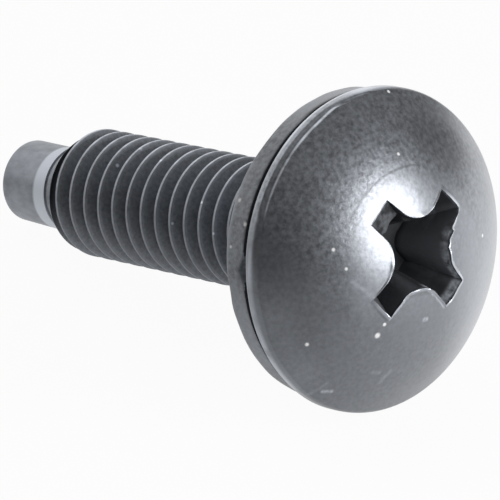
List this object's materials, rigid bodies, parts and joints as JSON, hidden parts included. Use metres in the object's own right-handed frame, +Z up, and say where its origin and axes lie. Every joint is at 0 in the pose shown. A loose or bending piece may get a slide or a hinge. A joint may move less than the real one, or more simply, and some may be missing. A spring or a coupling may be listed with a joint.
{
  "type": "truss head rack screw with captive washer",
  "caption": "Black machine screw with a low domed head, cross recess, full thread, plain pilot point and a loose plastic washer held under the head, for fixing panels to a rack.",
  "frame": {"origin": "on the ground below the middle of the lying screw", "axes": "+X runs along the lying screw towards its head, +Z up; the screw's own axis rises 12.9 degrees from +X towards the head"},
  "size_m": [0.0214, 0.0116, 0.0113],
  "materials": {
    "black_steel": "thin satin black conversion coat over rolled steel, worn to grey at the pilot",
    "washer_plastic": "matte moulded nylon, dark grey"
  },
  "bodies": {
    "screw": {"screw": "black_steel"},
    "washer": {"washer": "washer_plastic"}
  },
  "joints": [
    {"name": "washer_spin", "type": "hinge", "parent": "screw", "child": "washer", "pos_m": [0.00693, 0, 0.00543], "axis": [0.9746, 0, 0.224], "continuous": true}
  ]
}
